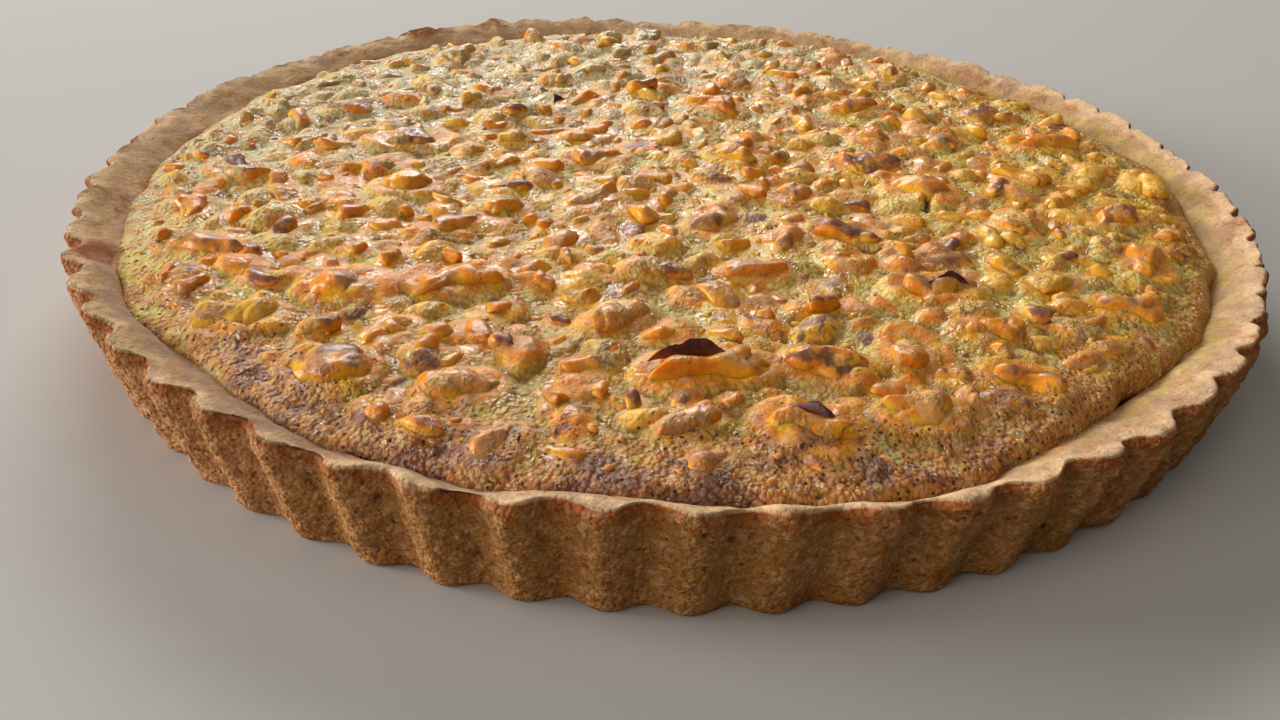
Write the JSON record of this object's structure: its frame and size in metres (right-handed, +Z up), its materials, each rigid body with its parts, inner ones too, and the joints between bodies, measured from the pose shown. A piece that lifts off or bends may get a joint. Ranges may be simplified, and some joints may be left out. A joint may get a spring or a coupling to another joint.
{
  "type": "walnut tart",
  "caption": "Round uncut walnut tart in a fluted shortcrust shell, with a set custard and chopped walnuts browned on top.",
  "frame": {"origin": "centre of the flat base, on the surface the tart stands on", "axes": "+Z up, out of the tart's top; -Y towards the viewer in the picture"},
  "size_m": [0.2616, 0.2616, 0.0305],
  "materials": {
    "pastry": "dry baked shortcrust, golden tan, sandy, toasted along the rim",
    "custard": "set custard, straw yellow, fine bubbles, moist sheen, browned near the edge",
    "walnut": "chopped walnut kernel, amber to brown, thinly glazed by the custard"
  },
  "bodies": {
    "root": {"crust": "pastry", "filling": "custard", "walnut_01": "walnut", "walnut_02": "walnut", "walnut_03": "walnut", "walnut_04": "walnut", "walnut_05": "walnut", "walnut_06": "walnut", "walnut_07": "walnut", "walnut_08": "walnut", "walnut_09": "walnut", "walnut_10": "walnut", "walnut_11": "walnut", "walnut_12": "walnut", "walnut_13": "walnut", "walnut_14": "walnut", "walnut_15": "walnut", "walnut_16": "walnut", "walnut_17": "walnut", "walnut_18": "walnut", "walnut_19": "walnut", "walnut_20": "walnut", "walnut_21": "walnut", "walnut_22": "walnut", "walnut_23": "walnut", "walnut_24": "walnut", "walnut_25": "walnut", "walnut_26": "walnut", "walnut_27": "walnut", "walnut_28": "walnut", "walnut_29": "walnut", "walnut_30": "walnut", "walnut_31": "walnut", "walnut_32": "walnut", "walnut_33": "walnut", "walnut_34": "walnut", "walnut_35": "walnut", "walnut_36": "walnut", "walnut_37": "walnut", "walnut_38": "walnut", "walnut_39": "walnut", "walnut_40": "walnut", "walnut_41": "walnut", "walnut_42": "walnut", "walnut_43": "walnut", "walnut_44": "walnut", "walnut_45": "walnut", "walnut_46": "walnut"}
  },
  "joints": []
}
